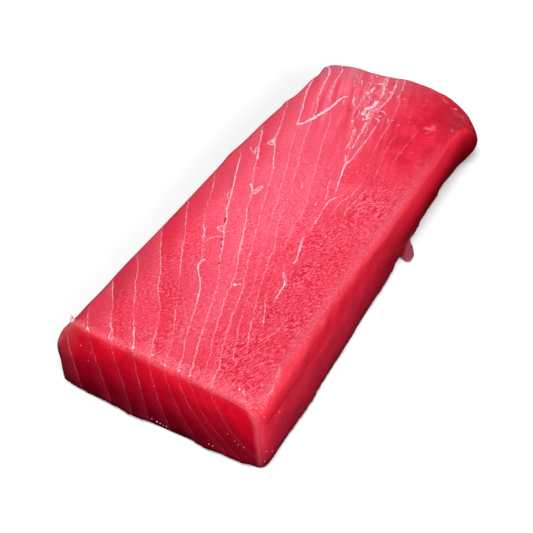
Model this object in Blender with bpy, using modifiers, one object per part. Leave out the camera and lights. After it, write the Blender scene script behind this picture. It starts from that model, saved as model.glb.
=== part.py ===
"""A block of raw tuna: one thick cut of loin lying flat, with a torn scrap at its right foot.

The block is one solid. Its grain, its white sheets of connective tissue and its
wet skin are surface looks, so they aren't separate pieces. The near cut faces -Y, the
far cut faces +Y, the long walls face left (-X) and right (+X), and the block lies on
the plane Z = 0.
"""

import math
from collections import namedtuple

import bmesh
import bpy
from mathutils import Vector

MM = 0.001

# A swell is a smooth bump: how far it stands out, where it is greatest, how far it reaches.
Swell = namedtuple("Swell", "size centre reach")

# Driving sizes of the block.
BLOCK_NAME = "tuna_block"
LENGTH = 212.5 * MM
WIDTH = 78.5 * MM
HEIGHT = 24.5 * MM

# Plan radius of each upright corner, at the foot and at the top.
CORNER_RADII = {
    ("left", "near"): (5.0 * MM, 5.0 * MM),
    ("right", "near"): (2.5 * MM, 3.5 * MM),
    ("right", "far"): (7.0 * MM, 15.0 * MM),
    ("left", "far"): (8.0 * MM, 13.0 * MM),
}

# The left wall is rounded like the side of the fish, with a lobe at the near corner.
LEFT_BELLY = 3.2 * MM
LEFT_LOBE = Swell(6.2 * MM, -104.0 * MM, 20.0 * MM)
LEFT_SWELLS = (
    Swell(1.0 * MM, -68.0 * MM, 36.0 * MM),
    Swell(1.2 * MM, 10.0 * MM, 70.0 * MM),
)
LEFT_TAPER = 4.6 * MM  # how far the wall draws in towards the far cut
LEFT_TAPER_SPAN = (45.0 * MM, 100.0 * MM)
ROUNDED_SHARE = 0.7  # how much of a full half turn the left wall's section makes

# The right wall is a knife cut, with its foot spread out at the near end.
RIGHT_SPREAD = 3.8 * MM
RIGHT_SPREAD_SPAN = (-60.0 * MM, 65.0 * MM)
RIGHT_WAIST = Swell(1.8 * MM, -42.0 * MM, 52.0 * MM)  # at the top edge
RIGHT_TUCK = Swell(0.4 * MM, 58.0 * MM, 40.0 * MM)  # at the foot
RIGHT_FLARE = Swell(6.0 * MM, 94.0 * MM, 30.0 * MM)  # at half height, near the far corner
FLARE_AT_TOP_AND_FOOT = 0.2  # the share of the flare that is left there

# The near cut leans back and runs askew. The far cut has two swells along its edge.
NEAR_RAKE = 3.1 * MM  # its foot stands this far forward of the middle, its top as far back
NEAR_SKEW = 3.2 * MM
NEAR_SKEW_AT_FOOT = 0.4
NEAR_BOW = 1.2 * MM
FAR_RAKE = 1.5 * MM
FAR_SWELLS = (
    Swell(2.6 * MM, 5.0 * MM, 14.0 * MM),
    Swell(1.6 * MM, -24.0 * MM, 8.0 * MM),
)

# The top falls away at the two right corners and is a little uneven elsewhere.
SHOULDER_PLACE = (44.0 * MM, 102.0 * MM)
SHOULDER = Swell(10.0 * MM, 0.0, 27.0 * MM)
NEAR_DIP_PLACE = (WIDTH / 2.0, -LENGTH / 2.0)
NEAR_DIP = Swell(2.2 * MM, 0.0, 11.0 * MM)
UNEVENNESS = 0.5 * MM
UNEVEN_ACROSS = 19.0 * MM
UNEVEN_ALONG = 23.0 * MM

# The torn scrap is a flat tongue that leaves the right foot and lies on the table.
SCRAP_ROOT = Vector((36.5, 24.5, 0.0)) * MM
SCRAP_TIP = Vector((44.5, 12.0, 0.0)) * MM
SCRAP_WIDTH = 5.6 * MM
SCRAP_THICKNESS = 2.0 * MM
SCRAP_BEND = 1.2 * MM
SCRAP_NARROWING = 0.25
SCRAP_THINNING = 0.3
SCRAP_LIFT = 0.3 * MM  # how far its underside is above the table

# The cages that the soft forms are drawn on: cells along X, Y and Z.
BLOCK_CELLS = (10, 22, 4)
SCRAP_CELLS = (3, 6, 2)
GATHERING = 0.75  # how strongly the block's cage lines gather at its edges, 0 to 1
SOFTENING = 1  # subdivision levels

FLESH_COLOUR = (0.70, 0.045, 0.085, 1.0)
FLESH_ROUGHNESS = 0.35


def clear_scene():
    for thing in list(bpy.data.objects):
        bpy.data.objects.remove(thing, do_unlink=True)


def swell(value, bump):
    """The height of a swell at a value: its full size at the centre, 0 past its reach."""
    distance = min(abs(value - bump.centre) / bump.reach, 1.0)
    return bump.size * (0.5 + 0.5 * math.cos(math.pi * distance))


def ramp(value, span):
    """A smooth step from 0 at the span's start to 1 at its end."""
    start, end = span
    share = min(max((value - start) / (end - start), 0.0), 1.0)
    return share * share * (3.0 - 2.0 * share)


def gather(share):
    """Moves a cage line at -1 to 1 towards the nearer edge."""
    return (1.0 - GATHERING) * share + GATHERING * math.sin(share * math.pi / 2.0)


def grid_cube(cells):
    """A cube from -1 to 1 whose faces are cut into the given cells along X, Y and Z."""
    cube = bmesh.new()
    bmesh.ops.create_cube(cube, size=2.0)
    for axis, count in enumerate(cells):
        along = [
            edge
            for edge in cube.edges
            if abs(edge.verts[0].co[axis] - edge.verts[1].co[axis]) > 1.0
        ]
        bmesh.ops.subdivide_edges(cube, edges=along, cuts=count - 1, use_grid_fill=True)
    return cube


def round_corner(x, y, up):
    """Pulls a point of the plan rectangle onto its corner's arc."""
    side = "right" if x > 0.0 else "left"
    end = "far" if y > 0.0 else "near"
    foot, top = CORNER_RADII[side, end]
    radius = foot + (top - foot) * up
    across = 1.0 - (WIDTH / 2.0 - abs(x)) / radius
    along = 1.0 - (LENGTH / 2.0 - abs(y)) / radius
    if across <= 0.0 or along <= 0.0:
        return x, y
    pull = max(across, along) / math.hypot(across, along)
    corner_x = WIDTH / 2.0 - radius * (1.0 - across * pull)
    corner_y = LENGTH / 2.0 - radius * (1.0 - along * pull)
    return math.copysign(corner_x, x), math.copysign(corner_y, y)


def left_wall(y, up):
    """How far the left wall stands out at this place."""
    turn = 0.5 + ROUNDED_SHARE * (up - 0.5)
    out = (LEFT_BELLY + swell(y, LEFT_LOBE)) * math.sin(math.pi * turn) ** 2
    out += sum(swell(y, bump) for bump in LEFT_SWELLS)
    return out - LEFT_TAPER * ramp(y, LEFT_TAPER_SPAN)


def right_wall(y, up):
    """How far the right wall stands out at this place."""
    foot = RIGHT_SPREAD * (1.0 - ramp(y, RIGHT_SPREAD_SPAN)) - swell(y, RIGHT_TUCK)
    from_middle = abs(2.0 * up - 1.0)
    flare_share = 1.0 - (1.0 - FLARE_AT_TOP_AND_FOOT) * from_middle
    out = foot * (1.0 - up) - swell(y, RIGHT_WAIST) * up
    return out + swell(y, RIGHT_FLARE) * flare_share


def near_cut(across, up):
    """How far the near cut is set back at this place."""
    skew = NEAR_SKEW_AT_FOOT + (1.0 - NEAR_SKEW_AT_FOOT) * up
    bow = NEAR_BOW * (1.0 - across * across) * (1.0 - up)
    return NEAR_RAKE * (2.0 * up - 1.0) - NEAR_SKEW * across * skew - bow


def far_cut(x, up):
    """How far the far cut stands out at this place."""
    return FAR_RAKE * (up - 0.5) + sum(swell(x, bump) for bump in FAR_SWELLS)


def top_height(x, y):
    to_shoulder = math.hypot(x - SHOULDER_PLACE[0], y - SHOULDER_PLACE[1])
    to_dip = math.hypot(x - NEAR_DIP_PLACE[0], y - NEAR_DIP_PLACE[1])
    height = HEIGHT - swell(to_shoulder, SHOULDER) - swell(to_dip, NEAR_DIP)
    wave = math.sin(y / UNEVEN_ALONG) * math.sin(x / UNEVEN_ACROSS + 1.0)
    return height + UNEVENNESS * wave


def block_point(share):
    """Where a point of the unit cage, each share from -1 to 1, lies on the block."""
    up = 0.5 + 0.5 * gather(share.z)
    plan_x = gather(share.x) * WIDTH / 2.0
    plan_y = gather(share.y) * LENGTH / 2.0
    x, y = round_corner(plan_x, plan_y, up)
    across = x / (WIDTH / 2.0)
    along = y / (LENGTH / 2.0)
    wall = max(across, 0.0) * right_wall(y, up) - max(-across, 0.0) * left_wall(y, up)
    cut = max(-along, 0.0) ** 2 * near_cut(across, up) + max(along, 0.0) ** 2 * far_cut(x, up)
    return Vector((x + wall, y + cut, up * top_height(x, y)))


def scrap_point(share):
    """Where a point of the unit cage lies on the scrap, which bends as it leaves the foot."""
    along = 0.5 + 0.5 * share.y
    heading = (SCRAP_TIP - SCRAP_ROOT).normalized()
    sideways = Vector((-heading.y, heading.x, 0.0))
    half_width = SCRAP_WIDTH / 2.0 * (1.0 - SCRAP_NARROWING * along**3)
    bend = SCRAP_BEND * math.sin(math.pi * along)
    thickness = SCRAP_THICKNESS * (1.0 - SCRAP_THINNING * along)
    height = SCRAP_LIFT + thickness * (0.5 + 0.5 * share.z)
    middle = SCRAP_ROOT.lerp(SCRAP_TIP, along)
    return middle + sideways * (bend + half_width * share.x) + Vector((0.0, 0.0, height))


def soft_object(name, cells, place, collection):
    """A cube cage whose points are moved by place(), smoothed by Subdivision Surface."""
    cage = grid_cube(cells)
    for vertex in cage.verts:
        vertex.co = place(vertex.co)
    bmesh.ops.recalc_face_normals(cage, faces=cage.faces)
    mesh = bpy.data.meshes.new(name)
    cage.to_mesh(mesh)
    cage.free()
    mesh.shade_smooth()
    made = bpy.data.objects.new(name, mesh)
    collection.objects.link(made)
    soften = made.modifiers.new("Soft form", "SUBSURF")
    soften.levels = SOFTENING
    soften.render_levels = SOFTENING
    return made


def flesh_material():
    """Wet raw tuna, bright red and a little glossy."""
    material = bpy.data.materials.new("raw_tuna")
    material.use_nodes = True
    shader = material.node_tree.nodes["Principled BSDF"]
    shader.inputs["Base Color"].default_value = FLESH_COLOUR
    shader.inputs["Roughness"].default_value = FLESH_ROUGHNESS
    shader.inputs["Metallic"].default_value = 0.0
    return material


def new_collection(name):
    made = bpy.data.collections.new(name)
    bpy.context.scene.collection.children.link(made)
    return made


def join_scrap(block, collection):
    """Makes the scrap and joins it to the block, so that the two are one solid."""
    scrap = soft_object("torn_scrap", SCRAP_CELLS, scrap_point, collection)
    scrap.hide_render = True
    scrap.display_type = "WIRE"
    join = block.modifiers.new("Torn scrap", "BOOLEAN")
    join.operation = "UNION"
    join.solver = "EXACT"
    join.object = scrap


def build():
    clear_scene()
    block = soft_object(BLOCK_NAME, BLOCK_CELLS, block_point, new_collection(BLOCK_NAME))
    block.data.materials.append(flesh_material())
    join_scrap(block, new_collection("joined_shapes"))


build()
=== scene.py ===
import math
import random
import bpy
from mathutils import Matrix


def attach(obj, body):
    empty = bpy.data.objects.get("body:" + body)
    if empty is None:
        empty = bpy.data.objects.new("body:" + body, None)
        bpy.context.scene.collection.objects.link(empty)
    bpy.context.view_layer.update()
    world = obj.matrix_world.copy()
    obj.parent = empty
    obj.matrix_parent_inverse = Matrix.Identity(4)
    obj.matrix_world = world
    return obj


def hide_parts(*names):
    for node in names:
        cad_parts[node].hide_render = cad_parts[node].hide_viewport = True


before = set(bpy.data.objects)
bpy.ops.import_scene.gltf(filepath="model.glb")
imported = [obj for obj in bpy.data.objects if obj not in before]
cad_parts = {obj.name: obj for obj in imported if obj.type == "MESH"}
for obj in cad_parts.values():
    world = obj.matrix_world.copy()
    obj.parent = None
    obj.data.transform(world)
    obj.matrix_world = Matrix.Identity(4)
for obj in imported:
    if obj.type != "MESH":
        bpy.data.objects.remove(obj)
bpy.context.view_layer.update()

from types import SimpleNamespace

import bmesh
import bpy
import numpy as np
from mathutils import Quaternion, Vector, noise
from mathutils.bvhtree import BVHTree

# ---------------------------------------------------------------------------
# The meat
# One long block of raw tuna loin, cut with a knife on top and at both ends. It is red
# muscle in flakes, with a thin white sheet between each two, which the knife has left as
# a fine line aslant over the top. The top is wrinkled where the blade dragged over it.

MM = 0.001
TOP = 24.5  # height in mm at which the sheets' lines are drawn
VOXEL = 1.05  # mm, the size of the mesh's cells, halved on top
RUNS_OUT = 99.0  # mm along; a line that reaches this far runs out of the end
FAR_OFF = 99.0  # mm, a distance at which nothing has any effect

# Each sheet: its lean to the right for each mm of depth, how much that grows with
# depth, its half width in mm, and the points (along, across, whiteness) that its
# line passes on the top, in mm from the middle of the block.
SHEETS = [
    (0.6, 0, 0.2, [(-100, -32.8, 0.9), (-96, -35.5, 0.5), (-92, -38, 0.3), (-86, -41, 0.2)]),
    (0.56, 0, 0.22, [(-100, -22.6, 0.7), (-97, -24.5, 0.9), (-94, -27, 0.8), (-89, -30, 0.3),
     (-84, -33, 0.6), (-78, -37, 0.9), (-75, -39, 0.6)]),
    (0.42, 0.002, 0.24, [(-101, -12.8, 0.8), (-96, -16, 1), (-90, -20, 0.6), (-84, -24, 0.4),
     (-77, -28, 0.8), (-72, -31, 0.6), (-64, -35, 0.5), (-58, -39.5, 0.4)]),
    (0.38, 0.006, 0.22, [(-101, -6, 0.6), (-96, -8.3, 0.8), (-87, -12, 0.5), (-79, -16, 0.25),
     (-71, -22, 0.8), (-61, -27, 0.8), (-53, -32, 0.7), (-41, -39, 0.4)]),
    (0.35, 0.017, 0.22, [(-103, 0.6, 0.6), (-92, -3, 0.4), (-86, -6, 0.5), (-81, -8.5, 0.7),
     (-74, -12, 0.25), (-66, -16, 0.2), (-57, -21, 0.85), (-45, -27, 0.85), (-39, -29.5, 0.4),
     (-33, -33, 0.6), (-20, -39.5, 0.3)]),
    (0.35, 0.03, 0.24, [(-103, 6, 0.7), (-94, 3, 0.6), (-89, 0.5, 0.65), (-82, -2, 0.5), (-73, -4.9, 0.9),
     (-62, -9.4, 0.85), (-55, -14.4, 0.95), (-50, -16, 0.6), (-42, -20.2, 0.5), (-36, -22.8, 0.9),
     (-31, -26, 0.8), (-22, -30, 0.2), (-6, -36, 0.5), (0, -39, 0.45)]),
    (0.38, 0.03, 0.26, [(-103, 10.5, 0.55), (-91, 6.5, 0.8), (-78, 2, 0.55), (-68, -1, 0.5),
     (-57, -5, 0.45), (-45, -10.8, 0.7), (-32, -16.5, 0.9), (-23, -20.4, 1), (-12, -25.2, 1),
     (-1, -29.2, 0.9), (7, -32.3, 0.7), (16, -35.6, 0.5), (20, -37.8, 0.3)]),
    (0.45, 0.03, 0.22, [(-101, 14.5, 0.2), (-92, 12, 0.4), (-86, 9.5, 0.6), (-65, 2.5, 0.8),
     (-52, -0.8, 0.7), (-41, -5.1, 0.8), (-30, -9.2, 0.95), (-20, -13.3, 0.8), (-14, -16.1, 0.4),
     (-7, -18.2, 0.8), (0, -21, 0.6), (11, -26.3, 0.8), (18, -28.6, 1), (22, -30.2, 1), (28, -33, 0.7),
     (35, -35.5, 0.8), (42, -39, 0.4)]),
    (0.45, 0.03, 0.22, [(-103, 19, 0.7), (-96, 17.5, 0.7), (-83, 12.5, 0.4), (-69, 8.5, 0.9),
     (-55, 4.5, 0.6), (-49, 2, 0.5), (-24, -6.6, 0.5), (-8, -11.9, 0.7), (5, -16, 0.5), (13, -18.8, 0.7),
     (23, -23.3, 0.8), (29, -26, 0.9), (37, -29.3, 0.9), (48, -32.5, 0.7), (59, -36, 0.5),
     (68, -39, 0.4)]),
    (0.5, 0.03, 0.2, [(-88, 19, 0.5), (-83, 17, 0.4), (-77, 14.5, 0.6), (-70, 12, 0.4), (-57, 8.6, 0.35),
     (-50, 6.6, 0.4), (-42, 3.5, 0.2), (-30, 0, 0.3), (-14, -5, 0.35), (-3, -7.9, 0.7), (5, -10.7, 0.6),
     (13, -13.1, 0.5), (22, -16.1, 0.7), (28, -18.4, 0.5), (38, -21.7, 0.5), (48, -24.5, 0.6),
     (52, -25.8, 0.9), (56, -27.4, 0.9), (63, -29.4, 0.9), (71, -32.2, 0.9), (80, -34.5, 0.8),
     (89, -36.3, 0.5)]),
    (0.5, 0.03, 0.2, [(-79, 19.8, 0.8), (-74, 17.7, 0.9), (-68, 15.9, 0.6), (-63, 13.6, 0.7),
     (-57, 11.5, 0.4), (-45, 8.1, 0.6), (-37, 5.8, 0.7), (-32, 4.8, 0.7), (-25, 2.2, 0.6),
     (-18, -0.5, 0.5), (-8, -3, 0.3), (4, -5.6, 0.45), (11, -8.2, 0.6), (18, -10.1, 0.7),
     (23, -11.9, 0.7), (31, -14.6, 0.8), (40, -17.2, 0.65), (54, -20.8, 0.6), (65, -23.5, 0.7),
     (75, -27, 0.8), (84, -29.2, 0.85), (93, -30.6, 1), (102, -34.6, 0.9)]),
    (0.5, 0.03, 0.2, [(-69, 20.4, 0.7), (-66, 19.2, 0.9), (-60, 16.1, 0.6), (-48, 12, 0.2), (-35, 9, 0.2),
     (-22, 6.4, 0.5), (-14, 5, 0.5), (-4, 4.2, 0.5), (11, -0.4, 0.5), (22, -3.3, 0.6), (32, -6.3, 0.5),
     (40, -8.9, 0.6), (49, -11.2, 0.55), (57, -13.4, 0.5), (70, -18.5, 0.3), (77, -22.6, 0.8),
     (88, -25.6, 0.7), (97, -26.1, 0.8), (104, -28.5, 0.6)]),
    (0.5, 0.03, 0.24, [(10, 10.9, 0.2), (16, 9.7, 0.8), (24, 7.7, 0.9), (30, 6.8, 0.8), (36, 4.7, 0.7),
     (46, 1.8, 0.6), (56, -0.4, 0.7), (62, -4.7, 0.3), (80, -8.3, 0.5), (88, -9, 0.7), (104, -12, 0.4)]),
    (0.5, 0.03, 0.26, [(30, 6.8, 0.3), (39, 6.9, 0.5), (51, 5.4, 0.5), (64, 2.5, 0.5), (71, 0.8, 0.5),
     (80, -1, 0.6), (92, -2.5, 0.6), (98, -5, 0.7), (104, -6, 0.7)]),
    (0.5, 0.03, 0.22, [(37, 8.6, 0.3), (47, 7.2, 0.4), (57, 6.6, 0.4), (68, 5.2, 0.3), (77, 1.8, 0.5),
     (85, 2.1, 0.6), (92, 1.8, 0.6), (96, 1.3, 0.6), (105, -1, 0.6)]),
    (0.5, 0.03, 0.24, [(-14, 11.8, 0.8), (-7, 11.6, 0.8), (0, 10.9, 0.9), (4.5, 10.8, 0.8),
     (9, 12.8, 0.6), (13, 13.9, 0.3), (17, 14.1, 0.2)]),
    (0.5, 0.03, 0.26, [(-35, 15, 0.5), (-26, 13.4, 1), (-20, 11.8, 0.5)]),
    (0.5, 0.03, 0.22, [(-56, 18.4, 0.7), (-51, 17.9, 0.9), (-47, 17.6, 1), (-41, 13.8, 0.6),
     (-36, 11.5, 0.1)]),
    (0.5, 0.03, 0.18, [(12, 17.3, 0.3), (18, 17.4, 0.6), (22, 17.8, 0.3), (45, 12.4, 0.1),
     (60, 11.5, 0.3), (87, 7.3, 0.3), (99, 3.7, 0.6), (106, 2.4, 0.6)]),
    (0.5, 0.03, 0.18, [(28, 20.9, 0.15), (40, 18.7, 0.25), (50, 17.1, 0.25), (60, 16.4, 0.1)]),
    (0.5, 0.03, 0.18, [(34, 24.8, 0.1), (46, 23.3, 0.22), (56, 23.3, 0.22), (68, 23.6, 0.1)]),
    (0.5, 0.03, 0.22, [(76, -10.8, 0.3), (78, -11.2, 0.9), (81, -12.4, 0.8), (90, -15, 0.3),
     (105, -18, 0.4)]),
    (0.5, 0.03, 0.18, [(-75, 25.6, 0.5), (-70, 26.3, 0.5), (-66, 26.6, 0.3)]),
    (0.5, 0.03, 0.16, [(40, 14, 0.1), (52, 12, 0.3), (66, 10.6, 0.3), (80, 9, 0.1)]),
    (0.54, 0, 0.3, [(-112, -44.2, 0.9), (-100, -44.2, 0.9), (-97, -44.5, 0.1)]),
    (0.5, 0.03, 0.24, [(-1, 15.1, 0.4), (6, 15.2, 0.6), (12, 16.9, 0.7), (19, 17.7, 0.4)]),
    (0.5, 0.03, 0.2, [(1, 19.6, 0.4), (6, 19.8, 0.6), (13, 20.7, 0.5), (20, 21.4, 0.2)]),
]
# How much brighter each flake is than the one on its left, for the first twelve sheets
FLAKE_TONES = [0.35, -0.25, 0.30, -0.35, 0.30, 0.30, 0.25, -0.30, 0.15, -0.15, 0.10, -0.10]
CURVE_SPAN = 220.0  # mm along the block that a sheet's curve covers
CURVE_RISE = 100.0  # mm across that it covers

# Dark gaps where a sheet has come away, drawn flat with painted shade for their depth: across, along, turn
# from the width, half length and half width in mm, and how strong
GAPS = [
    (-19.9, -24.6, 115, 2.2, 0.6, 1), (-22, -19.6, 115, 0.9, 0.35, 0.8),
    (-25.2, -14.1, 115, 0.9, 0.35, 0.8), (-15.3, -35.5, 115, 0.8, 0.6, 1),
    (-13.3, -39.1, 115, 0.8, 0.6, 1), (-12.1, -42.4, 115, 1.2, 0.35, 0.9),
    (-9.4, -48.1, 115, 0.7, 0.45, 0.9), (0.3, -58, 115, 0.5, 0.35, 0.7),
]
# Pale scuffs of the far right, in the same way
SCUFFS = [
    (27.6, 73, 8, 3.4, 1.6, 0.7), (28.5, 75.2, 112, 2.4, 1.2, 0.6), (28.2, 69.7, 40, 2.3, 0.4, 0.5),
    (30.3, 66.9, 41, 2, 0.4, 0.45), (18.2, 90.3, 56, 1.8, 0.4, 0.4), (17.7, 94.8, 58, 1.5, 0.4, 0.4),
    (16, 78.2, 33, 2.1, 0.4, 0.45), (17.8, 73.5, 57, 1.2, 0.4, 0.4), (36.6, 77, 112, 2.6, 0.5, 0.5),
    (30.2, 99.7, 20, 1.1, 0.7, 0.7), (35, 97.2, 130, 1.6, 0.6, 0.5), (27.7, 51.8, 0, 0.7, 0.6, 0.5),
    (14.4, 69.5, 0, 0.9, 0.8, 0.7), (24.6, 101, 160, 2.4, 0.7, 0.45), (39.6, 90, 110, 2.4, 0.6, 0.4),
    (-17.5, 98, 100, 4, 2.2, 0.35),
]
# One redder place near the front, in the same way
FLUSHES = [(4.5, -91, 0, 7.5, 15, 0.42)]
# The soft dark bands beside raised strands: half width in mm, and the points (across, along)
SHADES = [
    (0.9, [(-38, 20), (-31.5, 2.5), (-27.6, -7), (-24.6, -15.5), (-21.4, -22.5)]),
    (0.7, [(-19.4, -30), (-16.6, -36), (-14.4, -42)]),
    (0.6, [(-18.6, 64), (-20.6, 56.6), (-24, 50.6)]),
]
TORN_MIDDLE = (-4.8, 86.0)
TORN_REACH = (6.0, 21.0)  # mm, how far the torn patch reaches across and along
TORN_LEAN = 0.16  # how far it shifts to the left for each mm along
# The torn patch's pits: across, along, and size in mm
PITS = [
    (-2.3, 93.8, 0.9), (-4.6, 86.6, 1.3), (-1.4, 84.4, 1), (-0.2, 85.4, 0.8), (-3.9, 80.8, 0.9),
    (-10.3, 94.9, 1.2), (-5.9, 94.4, 1.1), (-4.3, 74.6, 0.9), (-5.7, 71.2, 0.9), (-6, 67.6, 0.9),
    (4.5, 72.3, 1), (4.6, 66, 0.9), (2.6, 68, 0.8), (2.4, 73.7, 0.9), (-9.6, 70.5, 0.8), (-1, 101, 0.9),
]
CREASE_HEIGHT = 16.6  # mm, the height of the long crease in the right wall
# How far each kind of relief stands out, in mm
GRAIN_RELIEF = 0.09
TATTER_RELIEF = 0.3
PIT_DEPTH = 0.2
GRIT_RELIEF = 0.16
LEFT_LIP_RELIEF = 0.2
TOP_STEP = 0.05
TOP_GROOVE = 0.10
END_STEP = 0.18
END_GROOVE = 0.06
WAVE_RELIEF = 0.34
CREASE_STEP = 0.35
RIM_DROP = 0.9
WALL_BULGE = 1.5
# Bulges and dents of the outline: across, along, shift across and along, reach, and from
# which height, in mm
PUSHES = [
    (-33, 100.5, -1.9, 0.7, 6, -9), (-37, 86, -1, 0.4, 6, -9), (-37.6, 65.4, -0.8, 0, 3.5, 14),
    (-40, 17.9, -0.7, 0, 7, 10), (34, 98, 0.8, 0.7, 5, -9), (43.5, 84, -1.1, -0.7, 6, -9),
    (41.5, 71, -0.6, 0, 7, -9), (-41, -95, 1.1, 0.3, 6, 17), (24.5, 101.5, 0.3, 0.6, 3.5, -9),
    (11.1, 104.8, 0.1, 0.5, 4, -9), (-15.5, 103.5, 0, -0.9, 3.5, -9), (16.5, 104.8, 0, -0.4, 2.5, -9),
    (3.5, 106.5, 0.1, 1, 4.5, -9), (-7.5, 103.5, 0, -0.4, 3, -9), (-36.5, 98.5, -0.5, 0.4, 3.5, -9),
]
# How far the ragged foot stands out, in mm: the front's by the place across, the right wall's
# by the place along
FRONT_FOOT = [
    (-42, 1), (-36, 0.5), (-22, 0.7), (-14, 0.9), (-6, 1), (0, 0.4), (8, -0.6), (14, 0.2), (20, 1.4),
    (34, 0.9), (39, 0),
]
RIGHT_FOOT = [
    (-106, -1), (-98, -0.9), (-88, 0.2), (-83, 0.6), (-66, 0), (-47, -0.9), (-33, 0), (-20, -0.5),
    (-12, 0.6), (-3, 0.8), (4, 0.8), (12, -1.2), (21, -0.8), (29, 0.5), (40, -0.2), (56, 0.5), (66, -0.3),
    (90, -0.6),
]
# The top's rear edge, as points (across, along)
REAR_EDGE = [
    (-42, 80), (-38, 95), (-34, 102), (-28, 105), (-12, 105.5), (0, 106.5), (12, 106.5), (24, 105),
    (32, 104), (36, 102), (40, 96), (44, 87),
]
# The pale ragged lips of the front's two ends, as points (across, along, up)
LEFT_LIP = [
    (-33.6, -99.9, 23.7), (-36.7, -98.8, 23.9), (-38.4, -98.7, 23.7), (-41.3, -98.8, 22.2),
    (-43, -99.5, 19.8), (-44.3, -99.6, 18.1), (-44.1, -101.2, 16.5), (-44.6, -102, 14.5),
]
RIGHT_LIP = [
    (36, -87.6, 24.5), (36.7, -91.8, 24.5), (37.5, -96, 24.2), (37.6, -99.9, 23.6), (37.8, -103.2, 22.7),
]
CORNER_LIP = [
    (27.5, -102, 24.5), (32, -103.6, 23.9), (34.6, -105.4, 22.7), (36.6, -106.1, 20.6),
    (37.2, -106.3, 19.4),
]
# How the walls' display colour changes with the height, from the foot (0) to the rim (1): painted shade
# darkens it towards the foot, painted light brightens it under the rim, and the darker step in the right
# wall's near part is the painted shade of its crease
END_WALL = [
    (0, (34, 0, 5)), (0.12, (76, 2, 16)), (0.36, (140, 2, 26)), (0.62, (193, 6, 35)),
    (0.86, (240, 16, 42)), (1, (244, 54, 74)),
]
RIGHT_WALL_NEAR = [
    (0, (86, 8, 22)), (0.1, (140, 20, 40)), (0.36, (194, 32, 56)), (0.52, (216, 40, 66)),
    (0.66, (238, 42, 68)), (0.72, (230, 30, 58)), (0.86, (238, 42, 64)), (1, (240, 60, 80)),
]
RIGHT_WALL_FAR = [
    (0, (90, 0, 8)), (0.1, (146, 0, 14)), (0.36, (164, 0, 16)), (0.6, (212, 18, 46)),
    (0.8, (254, 38, 66)), (1, (254, 56, 80)),
]
# The near left end's thin brownish edge, in the same way, with the same painted shade towards the foot
THIN_EDGE = [(0, (96, 12, 20)), (0.35, (140, 30, 42)), (0.7, (190, 50, 60)), (1, (226, 92, 98))]


def ease(value, low, high):
    """Rises smoothly from 0 at low to 1 at high."""
    part = np.clip((value - low) / (high - low), 0.0, 1.0)
    return part * part * (3.0 - 2.0 * part)


def field(places, across, along, up, seed):
    """Noise of about -1 to 1 at each place, with its own frequency for each way (per mm)."""
    stretch = np.array([across, along, up])
    spots = places * stretch + seed * 17.3
    return np.array([noise.noise(spot) for spot in spots.tolist()]) * 1.6


def apart(places, points):
    """How far each place is from the line through the points."""
    nearest = np.full(len(places), FAR_OFF)
    for start, stop in zip(points, points[1:]):
        start = np.array(start)
        run = np.array(stop) - start
        share = np.clip((places - start) @ run / (run @ run), 0.0, 1.0)
        nearest = np.minimum(nearest, np.linalg.norm(places - start - share[:, None] * run, axis=1))
    return nearest


def faded_ends(points):
    """The points of a line, with a short fade beyond each end that stops within the block."""
    fade = 2.5
    first, last = points[0], points[-1]
    faded = list(points)
    if first[0] > -RUNS_OUT:
        slope = (points[1][1] - first[1]) / (points[1][0] - first[0])
        faded.insert(0, (first[0] - fade, first[1] - fade * slope, 0.0))
    if last[0] < RUNS_OUT:
        slope = (last[1] - points[-2][1]) / (last[0] - points[-2][0])
        faded.append((last[0] + fade, last[1] + fade * slope, 0.0))
    return faded


def points_of(mesh, kind="co"):
    """The mesh's corners, or with kind "normal" the ways they face, as rows of three."""
    places = np.empty(len(mesh.vertices) * 3)
    mesh.vertices.foreach_get(kind, places)
    return places.reshape(-1, 3)


def smooth_mesh(mesh, passes):
    """Evens out facets, with a growing step after each shrinking one to keep the size."""
    edges = np.empty(len(mesh.edges) * 2, dtype=int)
    mesh.edges.foreach_get("vertices", edges)
    first, second = edges.reshape(-1, 2).T
    places = points_of(mesh)
    count = np.bincount(first, minlength=len(places)) + np.bincount(second, minlength=len(places))
    for step in [0.5, -0.52] * passes:
        total = np.zeros_like(places)
        for axis in range(3):
            total[:, axis] = np.bincount(first, places[second, axis], len(places))
            total[:, axis] += np.bincount(second, places[first, axis], len(places))
        places += step * (total / count[:, None] - places)
    mesh.vertices.foreach_set("co", places.ravel())
    mesh.update()


def halve_top_cells(mesh):
    """Splits the cells that face up in four, for the top's finer relief."""
    shape = bmesh.new()
    shape.from_mesh(mesh)
    shape.normal_update()
    top = [face for face in shape.faces if face.normal.z > 0.6]
    edges = list({edge for face in top for edge in face.edges})
    bmesh.ops.subdivide_edges(shape, edges=edges, cuts=1, use_grid_fill=True)
    shape.to_mesh(mesh)
    shape.free()


def fine_copy(source, name):
    """The CAD block's shape as a fine even mesh."""
    shape = bmesh.new()
    shape.from_mesh(source.data)
    bmesh.ops.remove_doubles(shape, verts=shape.verts, dist=0.01 * MM)
    mesh = bpy.data.meshes.new(name + "_cage")
    shape.to_mesh(mesh)
    shape.free()
    cage = bpy.data.objects.new(name + "_cage", mesh)
    bpy.context.scene.collection.objects.link(cage)
    remesh = cage.modifiers.new("Even cells", "REMESH")
    remesh.mode = "VOXEL"
    remesh.voxel_size = VOXEL * MM
    evaluated = cage.evaluated_get(bpy.context.evaluated_depsgraph_get())
    fine = bpy.data.meshes.new_from_object(evaluated)
    bpy.data.objects.remove(cage)
    smooth_mesh(fine, 8)
    halve_top_cells(fine)
    made = bpy.data.objects.new(name, fine)
    bpy.context.scene.collection.objects.link(made)
    return made


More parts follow.
